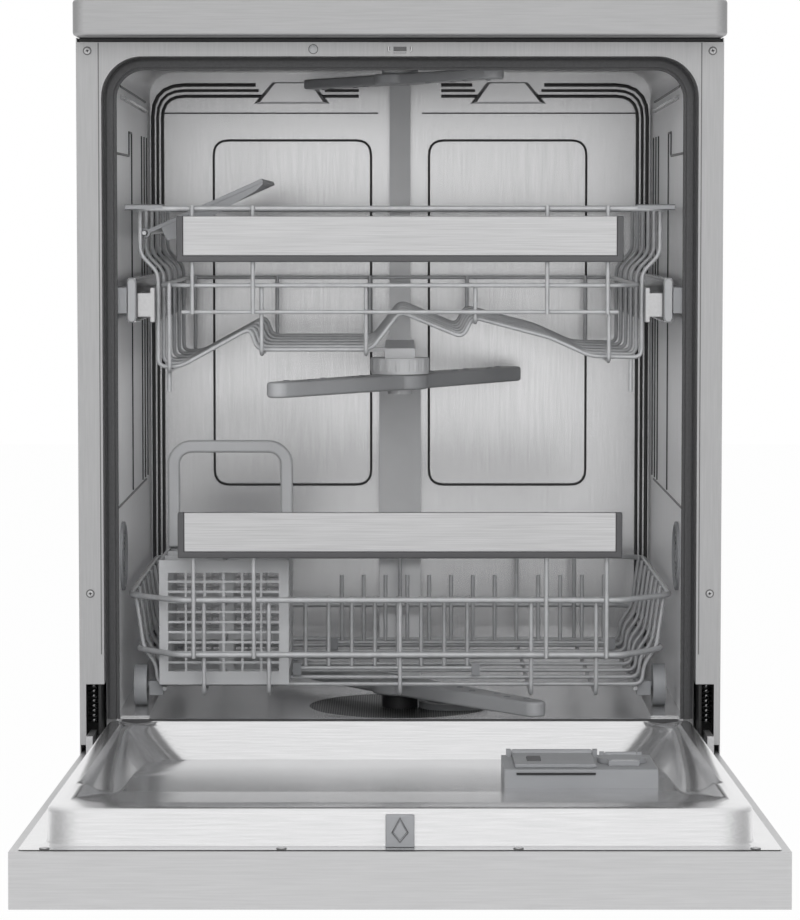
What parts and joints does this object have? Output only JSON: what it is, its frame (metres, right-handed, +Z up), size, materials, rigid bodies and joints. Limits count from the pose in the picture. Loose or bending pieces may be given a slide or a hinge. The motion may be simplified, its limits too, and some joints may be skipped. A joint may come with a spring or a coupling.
{
  "type": "dishwasher",
  "caption": "Freestanding dishwasher with a drop-down door, wire racks that slide out, spray arms, a cutlery basket and a detergent dispenser.",
  "frame": {"origin": "on the floor, in the middle of the width, in the plane of the front frame", "axes": "+X to the right of someone in front, +Y to the back, +Z up"},
  "size_m": [0.598, 1.2154, 0.85],
  "materials": {
    "worktop": "laminated board",
    "side_panels": "silver painted sheet steel",
    "rear_panel": "zinc plated steel",
    "base_tray": "moulded black plastic",
    "kickplate": "silver painted sheet steel",
    "levelling_feet": "moulded black plastic",
    "front_frame": "brushed stainless steel",
    "door_gasket": "moulded rubber",
    "bottom_seal": "moulded rubber",
    "frame_screws": "zinc plated steel",
    "frame_plug": "moulded light grey plastic",
    "latch_strike": "zinc plated steel",
    "tub_wrapper": "brushed stainless steel",
    "tub_back": "brushed stainless steel",
    "tub_floor": "brushed stainless steel",
    "sump": "moulded black plastic",
    "filter_plate": "brushed stainless steel",
    "filter_cartridge": "moulded grey plastic",
    "circulation_pump": "moulded black plastic",
    "drain_pump": "moulded black plastic",
    "inlet_valve": "moulded light grey plastic",
    "drain_spigot": "moulded black plastic",
    "feed_duct": "moulded grey plastic",
    "hinge_brackets": "zinc plated steel",
    "rail_guides": "moulded grey plastic",
    "door_outer_panel": "brushed stainless steel",
    "display_window": "smoked clear plastic",
    "handle_pocket": "moulded dark grey plastic",
    "control_board": "moulded black plastic",
    "door_liner": "brushed stainless steel",
    "door_screws": "zinc plated steel",
    "latch_housing": "moulded grey plastic",
    "dispenser_body": "moulded grey plastic",
    "hinge_arms": "zinc plated steel",
    "detergent_lid": "moulded grey plastic",
    "rinse_aid_cap": "moulded grey plastic",
    "button_power": "moulded dark grey plastic",
    "button_program": "moulded dark grey plastic",
    "button_start": "moulded dark grey plastic",
    "upper_rails": "brushed stainless steel",
    "upper_basket": "nylon coated steel wire",
    "upper_handle_frame": "moulded dark grey plastic",
    "upper_handle_bar": "brushed stainless steel",
    "rack_carriers": "moulded light grey plastic",
    "upper_feed_pipe": "moulded grey plastic",
    "cup_shelf": "moulded grey plastic",
    "mid_spray_arm": "moulded grey plastic",
    "lower_basket": "nylon coated steel wire",
    "lower_handle_frame": "moulded dark grey plastic",
    "lower_handle_bar": "brushed stainless steel",
    "wheel_brackets": "moulded grey plastic",
    "tine_clips": "moulded grey plastic",
    "cutlery_basket": "moulded light grey plastic",
    "cutlery_handle": "moulded light grey plastic",
    "lower_wheels_front": "moulded grey plastic",
    "lower_wheels_rear": "moulded grey plastic",
    "tines_front": "nylon coated steel wire",
    "tines_rear": "nylon coated steel wire",
    "lower_spray_arm": "moulded grey plastic",
    "ceiling_spray_arm": "moulded grey plastic"
  },
  "bodies": {
    "cabinet": {"worktop": "worktop", "side_panels": "side_panels", "rear_panel": "rear_panel", "base_tray": "base_tray", "kickplate": "kickplate", "levelling_feet": "levelling_feet", "front_frame": "front_frame", "door_gasket": "door_gasket", "bottom_seal": "bottom_seal", "frame_screws": "frame_screws", "frame_plug": "frame_plug", "latch_strike": "latch_strike", "tub_wrapper": "tub_wrapper", "tub_back": "tub_back", "tub_floor": "tub_floor", "sump": "sump", "filter_plate": "filter_plate", "filter_cartridge": "filter_cartridge", "circulation_pump": "circulation_pump", "drain_pump": "drain_pump", "inlet_valve": "inlet_valve", "drain_spigot": "drain_spigot", "feed_duct": "feed_duct", "hinge_brackets": "hinge_brackets", "rail_guides": "rail_guides"},
    "door": {"door_outer_panel": "door_outer_panel", "display_window": "display_window", "handle_pocket": "handle_pocket", "control_board": "control_board", "door_liner": "door_liner", "door_screws": "door_screws", "latch_housing": "latch_housing", "dispenser_body": "dispenser_body", "hinge_arms": "hinge_arms"},
    "detergent_lid": {"detergent_lid": "detergent_lid"},
    "rinse_aid_cap": {"rinse_aid_cap": "rinse_aid_cap"},
    "button_power": {"button_power": "button_power"},
    "button_program": {"button_program": "button_program"},
    "button_start": {"button_start": "button_start"},
    "upper_rails": {"upper_rails": "upper_rails"},
    "upper_rack": {"upper_basket": "upper_basket", "upper_handle_frame": "upper_handle_frame", "upper_handle_bar": "upper_handle_bar", "rack_carriers": "rack_carriers", "upper_feed_pipe": "upper_feed_pipe"},
    "cup_shelf": {"cup_shelf": "cup_shelf"},
    "mid_spray_arm": {"mid_spray_arm": "mid_spray_arm"},
    "lower_rack": {"lower_basket": "lower_basket", "lower_handle_frame": "lower_handle_frame", "lower_handle_bar": "lower_handle_bar", "wheel_brackets": "wheel_brackets", "tine_clips": "tine_clips", "cutlery_basket": "cutlery_basket", "cutlery_handle": "cutlery_handle"},
    "lower_wheels_front": {"lower_wheels_front": "lower_wheels_front"},
    "lower_wheels_rear": {"lower_wheels_rear": "lower_wheels_rear"},
    "tines_front": {"tines_front": "tines_front"},
    "tines_rear": {"tines_rear": "tines_rear"},
    "lower_spray_arm": {"lower_spray_arm": "lower_spray_arm"},
    "ceiling_spray_arm": {"ceiling_spray_arm": "ceiling_spray_arm"}
  },
  "joints": [
    {"name": "door_swing", "type": "hinge", "parent": "cabinet", "child": "door", "pos_m": [0, 0.01, 0.165], "axis": [1, 0, 0], "range_deg": [-88.3, 0]},
    {"name": "detergent_lid_hinge", "type": "hinge", "parent": "door", "child": "detergent_lid", "pos_m": [0, -0.27427, 0.19375], "axis": [1, 0, 0], "range_deg": [-110, 0]},
    {"name": "rinse_aid_cap_hinge", "type": "hinge", "parent": "door", "child": "rinse_aid_cap", "pos_m": [0, -0.29326, 0.19431], "axis": [1, 0, 0], "range_deg": [-100, 0]},
    {"name": "power_press", "type": "slide", "parent": "door", "child": "button_power", "axis": [0, 0.0297, 0.9996], "range_m": [0, 0.0012], "stiffness_N_per_m": 400},
    {"name": "program_press", "type": "slide", "parent": "door", "child": "button_program", "axis": [0, 0.0297, 0.9996], "range_m": [0, 0.0012], "stiffness_N_per_m": 400},
    {"name": "start_press", "type": "slide", "parent": "door", "child": "button_start", "axis": [0, 0.0297, 0.9996], "range_m": [0, 0.0012], "stiffness_N_per_m": 400},
    {"name": "upper_rack_slide", "type": "slide", "parent": "cabinet", "child": "upper_rack", "axis": [0, -1, 0], "range_m": [0, 0.42]},
    {"name": "upper_rails_slide", "type": "slide", "parent": "cabinet", "child": "upper_rails", "axis": [0, -1, 0], "range_m": [0, 0.21]},
    {"name": "cup_shelf_fold", "type": "hinge", "parent": "upper_rack", "child": "cup_shelf", "pos_m": [-0.24125, 0.23, 0.637], "axis": [0, -1, 0], "range_deg": [0, 62]},
    {"name": "mid_arm_spin", "type": "hinge", "parent": "upper_rack", "child": "mid_spray_arm", "pos_m": [0, 0.272, 0.4875], "axis": [0, 0, 1], "continuous": true},
    {"name": "lower_rack_slide", "type": "slide", "parent": "cabinet", "child": "lower_rack", "axis": [0, -1, 0], "range_m": [0, 0.42]},
    {"name": "front_wheels_roll", "type": "hinge", "parent": "lower_rack", "child": "lower_wheels_front", "pos_m": [0, 0.11, 0.2025], "axis": [1, 0, 0], "range_deg": [-5, 1210]},
    {"name": "rear_wheels_roll", "type": "hinge", "parent": "lower_rack", "child": "lower_wheels_rear", "pos_m": [0, 0.43, 0.2025], "axis": [1, 0, 0], "range_deg": [-5, 1210]},
    {"name": "front_tines_fold", "type": "hinge", "parent": "lower_rack", "child": "tines_front", "pos_m": [0, 0.14743, 0.214], "axis": [1, 0, 0], "range_deg": [0, 85]},
    {"name": "rear_tines_fold", "type": "hinge", "parent": "lower_rack", "child": "tines_rear", "pos_m": [0, 0.35714, 0.214], "axis": [1, 0, 0], "range_deg": [0, 85]},
    {"name": "lower_arm_spin", "type": "hinge", "parent": "cabinet", "child": "lower_spray_arm", "pos_m": [0, 0.272, 0.1805], "axis": [0, 0, 1], "continuous": true},
    {"name": "ceiling_arm_spin", "type": "hinge", "parent": "cabinet", "child": "ceiling_spray_arm", "pos_m": [0, 0.272, 0.789], "axis": [0, 0, 1], "continuous": true}
  ],
  "couplings": [
    {"joint": "upper_rails_slide", "follows": "upper_rack_slide", "ratio": 0.5},
    {"joint": "front_wheels_roll", "follows": "lower_rack_slide", "rad_per_m": 50},
    {"joint": "rear_wheels_roll", "follows": "lower_rack_slide", "rad_per_m": 50}
  ]
}
